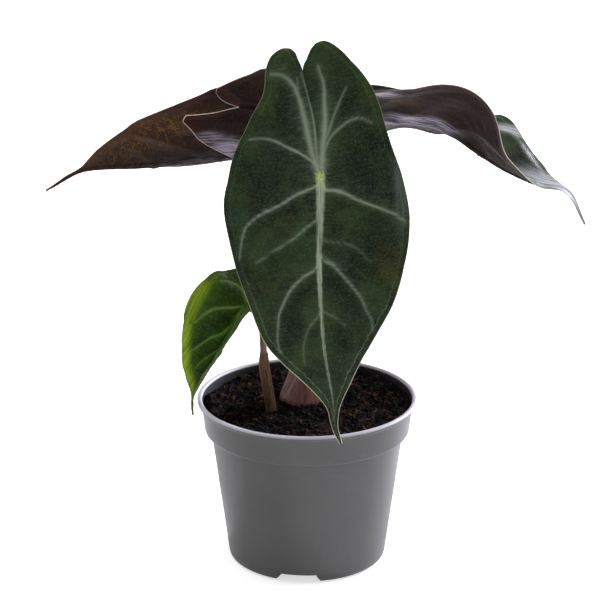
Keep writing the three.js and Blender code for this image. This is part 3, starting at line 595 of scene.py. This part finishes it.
def lifted(leaf, at, across, hand):
    """A flat place on the leaf carried into space: across the leaf the surface is an arc that
    leaves the midrib at the fold angle and turns by the curl."""
    point, _, face, left, bends = station(leaf, at)
    which = 0 if hand > 0 else 1
    start = bends[..., which:which + 1]
    turn = bends[..., 2 + which:3 + which] / CURL_WIDTH
    turn = np.where(np.abs(turn) < 1e-5, 1e-5, turn)
    end = start + turn * across[..., None]
    return (point + left * hand * (np.sin(end) - np.sin(start)) / turn
            + face * (np.cos(start) - np.cos(end)) / turn), face


def near_line(x, y, line):
    """Distance of each place from a smooth line, and how far along the line that is."""
    keys = np.arange(len(line))
    line = through(keys, line, np.linspace(0, len(line) - 1, LINE_POINTS))
    best, share = np.full(x.shape, 1e9), np.zeros(x.shape)
    for i, (a, b) in enumerate(zip(line[:-1], line[1:])):
        along = b - a
        t = np.clip(((x - a[0]) * along[0] + (y - a[1]) * along[1]) / (along @ along), 0, 1)
        gap = np.hypot(x - a[0] - t * along[0], y - a[1] - t * along[1])
        share = np.where(gap < best, (i + t) / (LINE_POINTS - 1), share)
        best = np.minimum(best, gap)
    return best, share


def patches(spots, along, across, length):
    """Soft oval patches, each with a flat middle: a bell curve of the distance raised to the
    power 3.2. Where patches overlap, the stronger one counts."""
    total = np.zeros(along.shape)
    for at, middle, reach_along, reach_across, strength in spots:
        bell = np.exp(-(((along - at * length) / reach_along) ** 2
                        + ((across - middle) / reach_across) ** 2) ** 1.6)
        total = np.maximum(total, strength * bell)
    return total


def half_blade(leaf, hand, seed):
    """Half a leaf as two grids of points, the upper and the under side, and the facts that its
    finish is drawn from. Both sides follow the lifted mid-surface, moved along its normal by
    half the thickness, by the bulge between the veins and by a wave that grows with the cube
    of the share of the way to the margin. The veins are grooves on the upper side and, with
    the round midrib, ridges on the under side. A vein's line and the pale halo round it fade
    as bell curves of the distance from it, and both grow narrower and fainter on the way out."""
    table = np.array(leaf["left"] if hand > 0 else leaf["right"])
    veins = leaf["veins"][0 if hand > 0 else 1]
    length = length_of(leaf)
    low, high = leaf["rows"]
    row = np.concatenate([np.linspace(0, SINUS_ROW, low + 1),
                          np.linspace(SINUS_ROW, len(table) - 1, high + 1)[1:]])
    u = np.linspace(0, 1, leaf["columns"] + 1)
    share = (0.65 * u + 0.35 * (0.5 - 0.5 * np.cos(np.pi * u)))[None, :]
    ends = through(np.arange(len(table)), table, row)[:, None, :]
    at = ends[..., 0] * (1 - share) + ends[..., 2] * share
    away = np.maximum(ends[..., 1] * (1 - share) + ends[..., 3] * share, 0) * length
    late = smooth(SINUS_ROW, len(table) - 1, row)[:, None]
    at = at + LOBE_BOW * 4 * share * (1 - share) * late
    along, signed = at * length, hand * away
    middle, face = lifted(leaf, at, away, hand)
    normal = unit(np.cross(np.gradient(middle, axis=1), np.gradient(middle, axis=0))) * -hand
    normal = np.where(np.sum(normal * face, -1, keepdims=True) < 0, -normal, normal)
    near = np.where(row[:, None] > SINUS_ROW, 1, smooth(0, 3, away))[..., None]
    normal = unit(face * (1 - near) + normal * near)

    reach = np.hypot((ends[..., 2] - ends[..., 0]), (ends[..., 3] - ends[..., 1])) * length
    edge = (1 - share) * reach
    inner = np.where(row[:, None] > SINUS_ROW, share * reach, FAR)
    ending = (row[-1] - row)[:, None] / (row[-1] - SINUS_ROW) * LOBE_END * length + 0 * share
    edge = np.minimum(np.minimum(edge, inner), ending)

    scale = length / FRONT_LENGTH
    strength, halo, ribs = np.zeros((3, *at.shape))
    nearest = np.where(along > SINUS_AT * length, FAR, away)
    for width, bright, line in veins:
        gap, part = near_line(along, away, np.array(line) * length)
        wide = np.maximum(width * scale * (1 - 0.6 * part), LEAST_VEIN)
        gap = gap * (1 + 0.22 * rough(along, signed, size=2.4, seed=seed + 3))
        bright = bright * (1 - 0.55 * part ** 2)
        pale = 0.35 * np.exp(-(gap / wide) ** 2) + 0.65 * np.exp(-(gap / (0.55 * wide)) ** 2)
        strength = np.maximum(strength, pale * bright)
        halo = np.maximum(halo, np.exp(-(gap / (3.2 * wide)) ** 2) * bright)
        ribs = np.maximum(ribs, 0.75 * np.exp(-(gap / 0.9) ** 2) * (1 - 0.8 * part))
        nearest = np.minimum(nearest, gap)
    tip_share = np.clip(along / (leaf["attach"] * length), 0, 1)
    past = smooth(leaf["attach"] + 0.03, leaf["attach"], at)
    rib_r = (0.7 + 1.9 * tip_share) * np.where(at > leaf["attach"], smooth(0.94, 0.8, at), 1)
    half_wide = scale * np.interp(at, [0, 0.06, 0.2, 0.33, 0.5, 0.6, 0.7],
                                  [0.3, 0.4, 0.7, 1.0, 1.5, 2.1, 2.6])
    ragged = away + 0.3 * scale * rough(along, signed, size=2.1, seed=seed + 5)
    midrib = smooth(1.35 * half_wide, 0.5 * half_wide, ragged) * past * smooth(0.05, 0.2, at)
    midrib = midrib * (0.6 + 0.4 * smooth(0.15, 0.4, at))
    halo = np.maximum(halo, 0.8 * np.exp(-(away / (2 * half_wide)) ** 2) * past)
    quiet = smooth(0, 7 * scale, edge) * smooth(0.02, 0.2, at)
    bulge = (1 - np.exp(-(nearest / (6.5 * scale)) ** 2)) * quiet * PILLOW * scale
    bulge = bulge + quiet * (0.22 * rough(along, signed, size=7 * scale, seed=seed)
                             + 0.09 * rough(along, signed, size=2.7, seed=seed + 1))
    wave = share ** 3 * 0.7 * scale * np.sin(along / (11 * scale) + seed + 1.4 * hand)
    wave = wave * smooth(0.1, 0.3, at) * (1 - late)
    thick = 0.5 * BLADE * (1 - 0.55 * share ** 2) * np.ones_like(at)
    thick = np.minimum(thick, 0.16 + 0.12 * edge)
    joint = np.exp(-(away / 5) ** 2 - ((along - leaf["attach"] * length) / 6) ** 2)
    groove = (0.4 * strength + 0.35 * midrib) * (1 - joint)
    top = middle + normal * (thick + bulge + wave - groove * quiet)[..., None]
    keel = rib_r * np.sqrt(np.clip(1 - (away / (rib_r * 1.5 + 0.01)) ** 2, 0, 1))
    under = middle - normal * (thick - bulge - wave + 0.75 * keel + ribs * quiet)[..., None]

    flat = np.stack([signed, along, np.full_like(at, 40.0 * seed)], -1)
    glow = np.exp(-(away / 2.2) ** 2 - ((along - leaf["attach"] * length) / 3.4) ** 2)
    # Soft patches of painted light: lit ones are painted highlights and shade ones painted shade
    # on the upper side, the golden ones painted light shining through the blade and the pale ones
    # a painted glancing reflection on the under side; along the left margin come painted
    # highlights on the rim.
    lit, shade, backlit, pale = (patches(leaf[key], along, signed, length)
                              for key in ("lit", "shade", "backlit", "pale"))
    if hand > 0:
        lit = np.maximum(lit, patches(leaf.get("rim_highlights", []), along, edge, length))
    facts = dict(
        leaf=flat, veins=strength, halo=halo, midrib=midrib, edge=edge, glow=glow, lit=lit,
        shade=shade, backlit=backlit, pale=pale, shine=np.interp(at, *leaf["shine"]))
    return top, under, facts


def make_blade(name, leaf, finish, seed):
    """Both halves joined at the midrib, upper and under side joined by a thin wall all round."""
    points, faces, facts = [], [], {}
    low, high = leaf["rows"]
    rows, columns = low + high + 1, leaf["columns"] + 1
    for hand in (1, -1):
        top, under, drawn = half_blade(leaf, hand, seed)
        start = sum(len(block) for block in points)
        size = rows * columns
        points += [top.reshape(-1, 3), under.reshape(-1, 3)]
        for label, values in drawn.items():
            facts.setdefault(label, []).extend([values.reshape(size, -1)] * 2)
        facts.setdefault("under", []).extend([np.zeros((size, 1)), np.ones((size, 1))])
        grid = np.arange(size).reshape(rows, columns) + start
        rim = np.concatenate([grid[:, -1], grid[-1, ::-1][1:], grid[low:-1, 0][::-1]])
        upper = quads(rows, columns, start=start)
        wall = np.stack([rim[:-1], rim[1:], rim[1:] + size, rim[:-1] + size], -1)
        tip = np.array([[grid[0, 0], grid[0, -1], grid[0, -1] + size, grid[0, 0] + size]])
        if hand > 0:
            upper = upper[:, ::-1]
            wall = wall[:, ::-1]
        else:
            tip = tip[:, ::-1]
        faces += [upper, upper[:, ::-1] + size, wall, tip]
    facts = {label: np.concatenate(blocks) for label, blocks in facts.items()}
    make_piece(f"leaf_{name}", np.concatenate(points), faces, finish, (f"blade_{name}",),
               facts, weld=0.002)


# ---- Stalks ------------------------------------------------------------------------
def tube(path, radius, sides, steps):
    """A round section carried along a smooth path: rings square to it, with the radius as a
    function of the share of the way and the angle. Returns the points, the faces, the place
    round and along the skin in millimetres, and the share of the way."""
    path = np.array(path, float)
    keys = chords(path)
    s = np.linspace(0, keys[-1], steps + 1)
    middle = through(keys, path, s)
    along = unit(np.gradient(middle, axis=0))
    first = unit(np.array([1.0, 0, 0]) - along * along[:, :1])
    second = np.cross(along, first)
    turn = np.linspace(0, 2 * np.pi, sides, endpoint=False)
    r = radius(s[:, None] / keys[-1], turn[None, :])[..., None]
    points = (middle[:, None] + r * (first[:, None] * np.cos(turn)[None, :, None]
                                     + second[:, None] * np.sin(turn)[None, :, None]))
    around = np.broadcast_to(turn[None, :] * 4, r.shape[:2])
    place = np.stack([around, np.broadcast_to(s[:, None], around.shape), 0 * around], -1)
    rise = np.broadcast_to(s[:, None] / keys[-1], around.shape)
    return points, capped(steps + 1, sides), place, rise


# The stalks: the path before it turns towards the leaf, the radius at the foot and at the top,
# the length of the straight end, and how much the foot swells.
STALKS = {
    "front": ([(0.5, 10.5, 100), (0.5, 10.5, 122), (3, -6, 170), (5, -22, 205)],
              3.6, 2.4, 11, 0.5),
    "right": ([(4.2, 17.5, 100), (4.2, 17.5, 122), (8, 17, 170), (11, 14, 205)],
              3.6, 2.4, 11, 0.5),
    "left": ([(-4.2, 17.5, 100), (-4.2, 17.5, 122), (-9, 36, 160), (-12, 56, 185)],
             3.6, 2.4, 11, 0.5),
    "small": ([(-23, -3, 110), (-23.4, -3, 113), (-23.8, -2, 122), (-24.8, 1.5, 131),
               (-28, 7, 137.5)], 2.1, 1.4, 5, 0),
}


def make_stalk(name, low_points, foot_r, top_r, straight, swell, finish):
    """A leaf stalk that rises out of the stem base and meets the midrib square on, where it
    flares into the main veins. It narrows on the way up, its foot swells, and five broad and
    nine narrow ridges run along it with a slight twist."""
    leaf = LEAVES[name]
    point, _, face, _, _ = station(leaf, np.array([leaf["attach"]]))
    point, face = point[0], face[0]
    path = [*low_points, point - face * straight, point - face * 0.45 * straight,
            point - face * 0.7]

    def radius(share, turn):
        body = foot_r + (top_r - foot_r) * share ** 0.8
        flare = 0.9 * top_r * smooth(0.955, 1, share)
        flare = flare + swell * foot_r * smooth(0.16, 0, share)
        ridges = 1 + 0.03 * np.cos(5 * turn + 4 * share) + 0.015 * np.sin(9 * turn - 3 * share)
        return (body + flare) * ridges

    points, faces, place, rise = tube(path, radius, 28, 110)
    make_piece(f"stalk_{name}", points, faces, finish, (f"petiole_{name}",),
               {"leaf": place, "rise": rise})


# ---- The pot -----------------------------------------------------------------------
POT_PROFILE = [
    (0, 0), (20, 0), (27.9, 0), (29, 0), (35, 0), (40.2, 0), (41.4, .25), (42.3, .9), (42.9, 1.9),
    (43.2, 3.2), (43.4, 4.7), (44.2, 10.9), (46, 24.6), (48.5, 43), (50.3, 57), (51.6, 66.5),
    (52.35, 72.1), (52.5, 72.8), (52.8, 73.25), (53.4, 73.45), (54.7, 73.5), (55.4, 73.7),
    (55.85, 74.2), (56.02, 75), (56.6, 80.5), (57.3, 86), (57.5, 87.6), (57.8, 88.6),
    (58.4, 89.2), (59.2, 89.5), (59.7, 89.9), (59.95, 90.5), (59.95, 91.1), (59.7, 91.7),
    (59.2, 91.95), (58.4, 92), (57.7, 91.8), (57.3, 91.3), (57.05, 90.4), (56.2, 85.5),
    (54.75, 76.2), (54.5, 75.5), (54, 75.05), (53, 74.85), (52, 74.7), (51.4, 74.3),
    (51.15, 73.5), (46.5, 38), (42, 4.6), (41.4, 2.8), (40, 1.7), (38, 1.5), (35, 1.5),
    (29, 1.5), (27, 1.5), (20, 1.5), (0, 1.5)]
NICHES = 3
NICHE_STEP = 360 / NICHES
NICHE_FIRST = -97       # angle of the first niche's middle, in degrees
NICHE_HALF = 16.6       # half its width, in degrees
NICHE_H = 4.5           # height of its roof
NICHE_R = 28.5          # how near the axis it reaches
POT_WALL = 1.4          # the plastic over its roof
COLLAR_CREASE_Z = 72.9           # the crease below the collar, where painted shade runs


def make_pot():
    """A profile turned round the Z axis, with points added at the niches' sides. In each drain
    niche the foot is lifted: a point below the niche's roof, between its two sides, moves up to
    the roof. The sides lean in: near them, the angle of a point is drawn to the niche as it
    rises, and above the roof that fades out."""
    corners = np.array(POT_PROFILE, float)
    keys = chords(corners)
    fine = np.unique(np.concatenate([np.linspace(a, b, max(2, int((b - a) / 3) + 2))
                                     for a, b in zip(keys[:-1], keys[1:])]))
    profile = np.stack([np.interp(fine, keys, corners[:, k]) for k in (0, 1)], -1)
    sides = np.linspace(0, 360, 240, endpoint=False)
    for i in range(NICHES):
        for side in (-NICHE_HALF, NICHE_HALF):
            end = NICHE_FIRST + NICHE_STEP * i + side
            sides = np.append(sides, [(end - 0.35) % 360, (end + 0.35) % 360])
    sides = np.unique(np.round(sides, 4))
    r, z = profile[:, 0][:, None], profile[:, 1][:, None]
    off = (sides - NICHE_FIRST + NICHE_STEP / 2) % NICHE_STEP - NICHE_STEP / 2
    lean = 3.4 * np.sign(off) * np.exp(-((np.abs(off) - NICHE_HALF) / 6) ** 2)
    turn = np.radians(sides - lean * smooth(0, NICHE_H, z) * smooth(16, NICHE_H, z))
    off = np.abs(off)
    inside = (off < NICHE_HALF)[None, :]
    outer_half = (np.arange(len(profile)) < np.argmax(profile[:, 1]))[:, None]
    roof = np.where(outer_half, NICHE_H, NICHE_H + POT_WALL)
    lift = inside & (r > NICHE_R) & (z < roof)
    height = np.where(lift, roof, z + 0 * turn)
    points = np.stack([r * np.cos(turn), r * np.sin(turn), height], -1)
    wide = np.broadcast_to(z, height.shape)
    out = np.broadcast_to(outer_half, height.shape)
    # a painted highlight along the lip
    lip_highlight = smooth(90.6, 91.5, wide) * 0.9
    # painted shade in the crease below the collar
    collar_crease_shade = np.where(out, 0.7 * np.exp(-((wide - COLLAR_CREASE_Z) / 0.6) ** 2), 0)
    # the inner wall below the lip, which the finish makes nearly black and rougher
    inner_wall = np.where(out, 0, smooth(91.2, 90.2, wide))
    make_piece("nursery_pot", points, [quads(len(profile), len(sides), closed=True)],
               pot_finish(), ("pot",), {"lip_highlight": lip_highlight, "collar_crease_shade": collar_crease_shade, "inner_wall": inner_wall},
               weld=0.004)


# ---- Peat --------------------------------------------------------------------------
SOIL_Z = 86             # the peat's mean level
HEAP = 2.4              # how far it rises to the pot's wall
CRUMBS = 5200
FIBRES = 240
FIBRE_JOINTS = 7


def soil_height(x, y):
    """The peat's level: three broad waves, lumps of four sizes, and a rise to the pot's wall."""
    broad = np.sin(0.11 * x + 0.7) * np.cos(0.13 * y - 0.4)
    middle = 0.6 * np.sin(0.31 * x - 0.22 * y + 1.1) * np.cos(0.27 * y + 0.15 * x)
    lumps = (0.9 * rough(x, y, size=7, seed=1) + 0.75 * rough(x, y, size=3.4, seed=2)
             + 0.5 * rough(x, y, size=1.7, seed=3) + 0.25 * rough(x, y, size=0.9, seed=4))
    heaped = HEAP * smooth(43, 54, np.hypot(x, y))
    return SOIL_Z - 0.4 + 0.9 * (broad + middle) + lumps + heaped


def make_peat(finish):
    """A lumpy disc on a plain side and bottom, then loose bits scattered evenly on it: crumbs,
    each an icosahedron stretched, roughened and turned at random, and thin three-sided fibres
    that wander and arch."""
    sides = 330
    turn = np.linspace(0, 2 * np.pi, sides, endpoint=False)[None, :]
    low = [(0, 60), (46, 60), (50.5, 72), (53.8, 76), (55.4, 83)]
    top = np.concatenate([[55.6], np.linspace(55.2, 0.4, 150), [0]])[:, None]
    r = np.concatenate([np.array([p[0] for p in low], float)[:, None], top])
    x, y = r * np.cos(turn), r * np.sin(turn)
    z = np.concatenate([np.broadcast_to(np.array([[p[1]] for p in low], float), (len(low), sides)),
                        soil_height(x[len(low):], y[len(low):])])
    body = np.stack([x, y, z], -1)
    tint = np.clip(rough(x, y, size=2.2, seed=9) * 0.5, 0, 0.6)
    make_piece("peat", body, [quads(len(r), sides, closed=True)], finish, ("soil",),
               {"tint": tint}, weld=0.01)

    golden = (1 + 5 ** 0.5) / 2
    shape = unit(np.array([(-1, golden, 0), (1, golden, 0), (-1, -golden, 0), (1, -golden, 0),
                           (0, -1, golden), (0, 1, golden), (0, -1, -golden), (0, 1, -golden),
                           (golden, 0, -1), (golden, 0, 1), (-golden, 0, -1), (-golden, 0, 1)]))
    facets = np.array([(0, 11, 5), (0, 5, 1), (0, 1, 7), (0, 7, 10), (0, 10, 11), (1, 5, 9),
                       (5, 11, 4), (11, 10, 2), (10, 7, 6), (7, 1, 8), (3, 9, 4), (3, 4, 2),
                       (3, 2, 6), (3, 6, 8), (3, 8, 9), (4, 9, 5), (2, 4, 11), (6, 2, 10),
                       (8, 6, 7), (9, 8, 1)])
    radius = 54.6 * np.sqrt(RNG.uniform(0, 1, CRUMBS))
    angle = RNG.uniform(0, 2 * np.pi, CRUMBS)
    cx, cy = radius * np.cos(angle), radius * np.sin(angle)
    size = RNG.gamma(2.0, 0.21, CRUMBS).clip(0.2, 1.5)
    stretch = RNG.uniform(0.55, 1.35, (CRUMBS, 1, 3)) * size[:, None, None]
    jitter = RNG.uniform(0.75, 1.25, (CRUMBS, 12, 1))
    turned, _ = np.linalg.qr(RNG.normal(size=(CRUMBS, 3, 3)))
    crumbs = np.einsum("nij,nkj->nki", turned, shape[None] * jitter * stretch)
    crumbs += np.stack([cx, cy, soil_height(cx, cy) + 0.25 * size], -1)[:, None]
    faces = (facets[None] + 12 * np.arange(CRUMBS)[:, None, None]).reshape(-1, 3)
    tint = np.repeat(np.where(RNG.uniform(size=CRUMBS) < 0.1, RNG.uniform(0.5, 1, CRUMBS), 0), 12)
    make_piece("peat_crumbs", crumbs, [faces], finish, (), {"tint": tint})

    radius = 53 * np.sqrt(RNG.uniform(0.02, 1, FIBRES))
    angle = RNG.uniform(0, 2 * np.pi, FIBRES)
    heading = RNG.uniform(0, 2 * np.pi, (FIBRES, 1))
    heading = heading + np.cumsum(RNG.normal(0, 0.35, (FIBRES, FIBRE_JOINTS)), 1)
    step = RNG.uniform(0.5, 1.5, (FIBRES, 1))
    px = (radius * np.cos(angle))[:, None] + np.cumsum(step * np.cos(heading), 1)
    py = (radius * np.sin(angle))[:, None] + np.cumsum(step * np.sin(heading), 1)
    inside = np.minimum(1, 54.5 / np.maximum(np.hypot(px, py), 1))
    px, py = px * inside, py * inside
    arch = np.sin(np.linspace(0, np.pi, FIBRE_JOINTS))[None] * RNG.uniform(0.2, 1.6, (FIBRES, 1))
    spine = np.stack([px, py, soil_height(px, py) + 0.2 + arch], -1)
    ahead = unit(np.gradient(spine, axis=1))
    across = unit(np.cross(ahead, [0, 0, 1.0]))
    lift = np.cross(across, ahead)
    taper = np.sin(np.linspace(0.3, np.pi - 0.3, FIBRE_JOINTS))
    thin = (RNG.uniform(0.12, 0.3, (FIBRES, 1)) * taper)[..., None]
    three = [np.cos(a) * across + np.sin(a) * lift for a in (0, 2 * np.pi / 3, 4 * np.pi / 3)]
    rings = np.stack([spine + thin * way for way in three], 2)
    block = quads(FIBRE_JOINTS, 3, closed=True)
    faces = (block[None] + (3 * FIBRE_JOINTS * np.arange(FIBRES))[:, None, None]).reshape(-1, 4)
    tint = np.repeat(RNG.uniform(0.5, 1, FIBRES), FIBRE_JOINTS * 3)
    make_piece("peat_fibres", rings, [faces], finish, (), {"tint": tint})


# ---- The stem base -----------------------------------------------------------------
BASE_AT = np.array([0.0, 15.0])     # its middle
STALK_R = 4.3                       # radius of a stalk's share of the outline
FEET = {"front": (0.5, 10.5), "right": (4.2, 17.5), "left": (-4.2, 17.5)}


def make_stem_base(finish):
    """Round in the peat, and higher up the outline of the three stalks that leave it, with
    fine ridges along it and a torn, swollen hem where it meets the peat."""
    sides, levels = 180, 90
    turn = np.linspace(0, 2 * np.pi, sides, endpoint=False)[None, :]
    z = np.linspace(78, 122, levels)[:, None]
    out = np.zeros((1, sides))
    for x, y in FEET.values():
        cx, cy = x - BASE_AT[0], y - BASE_AT[1]
        ahead = cx * np.cos(turn) + cy * np.sin(turn)
        beside = cx * np.sin(turn) - cy * np.cos(turn)
        out = np.maximum(out, ahead + np.sqrt(np.clip(STALK_R ** 2 - beside ** 2, 0, None)))
    rise = smooth(82, 116, z)
    round_r = through([78, 86, 98, 108, 122], [[14.8], [14.9], [12.7], [10.6], [6]], z[:, 0])
    r = round_r * (1 - rise) + out * rise
    r = r * (1 - 0.5 * smooth(117, 122, z))
    ridges = (0.14 * rough(turn * 14, z * 0.06, size=0.6, seed=5)
              + 0.3 * rough(turn * 5, z * 0.1, seed=6))
    hem = 0.3 * np.exp(-((z - 87.5 - 0.8 * rough(turn * 6, 0, seed=8)) / 1.4) ** 2)
    r = r + (ridges + hem) * smooth(120, 112, z)
    points = np.stack([BASE_AT[0] + r * np.cos(turn), BASE_AT[1] + r * np.sin(turn),
                       z + 0 * turn], -1)
    place = np.stack([turn * 12 + 0 * z, z + 0 * turn, 0 * turn + 0 * z], -1)
    pale = np.broadcast_to(smooth(86, 120, z), r.shape)
    make_piece("stem_sheaths", points, capped(levels, sides), finish,
               ("stem_base",), {"leaf": place, "rise": pale})


def make_dry_sheath(finish):
    """The old sheath round the small stalk's foot: a loose tube with a torn top edge."""
    path = [(-18.8, -3, 74), (-19.7, -4, 86), (-21.6, -3.5, 100), (-23.4, -3, 113),
            (-23.6, -2.7, 118)]

    def radius(share, turn):
        folds = 0.22 * rough(turn * 3, share * 3, seed=12) + 0.12 * np.cos(7 * turn + 5 * share)
        torn = 0.24 + 0.08 * rough(turn * 2, 0, seed=13)
        return (2.9 + folds) * (1 - torn * smooth(0.84, 1, share))

    points, faces, place, rise = tube(path, radius, 48, 60)
    make_piece("dry_sheath", points, faces, finish, ("sheath_small",),
               {"leaf": place, "rise": rise})


# ---- Everything --------------------------------------------------------------------
studio()

dark_blade = blade_finish("alocasia_blade_dark", 0, 0.42, 0.68)
young_blade = blade_finish("alocasia_blade_young", 1, 0.55, 0.55)
stalk_skin = stalk_finish("fleshy_leaf_stalk", "7d5a4c", "80695c", "9c8676", "5c453c", 0.42)
sheath_skin = stalk_finish("leaf_sheath_skin", "7c4a40", "985f52", "b18878", "58352e", 0.5)
papery_sheath = stalk_finish("papery_brown_sheath", "3a2a18", "68492e", "9a7650", "241509", 0.8)
peat = peat_finish()

make_pot()
make_peat(peat)
make_stem_base(sheath_skin)
make_dry_sheath(papery_sheath)
for order, (name, leaf) in enumerate(LEAVES.items()):
    young = name == "small"
    make_blade(name, leaf, young_blade if young else dark_blade,
               order + 1)
for name, (path, foot_r, top_r, straight, swell) in STALKS.items():
    make_stalk(name, path, foot_r, top_r, straight, swell, stalk_skin)

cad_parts["corm"].material_slots[0].material = stalk_finish(
    "corm_skin", "3d2a1d", "4a3424", "5a4330", "241810", 0.85)
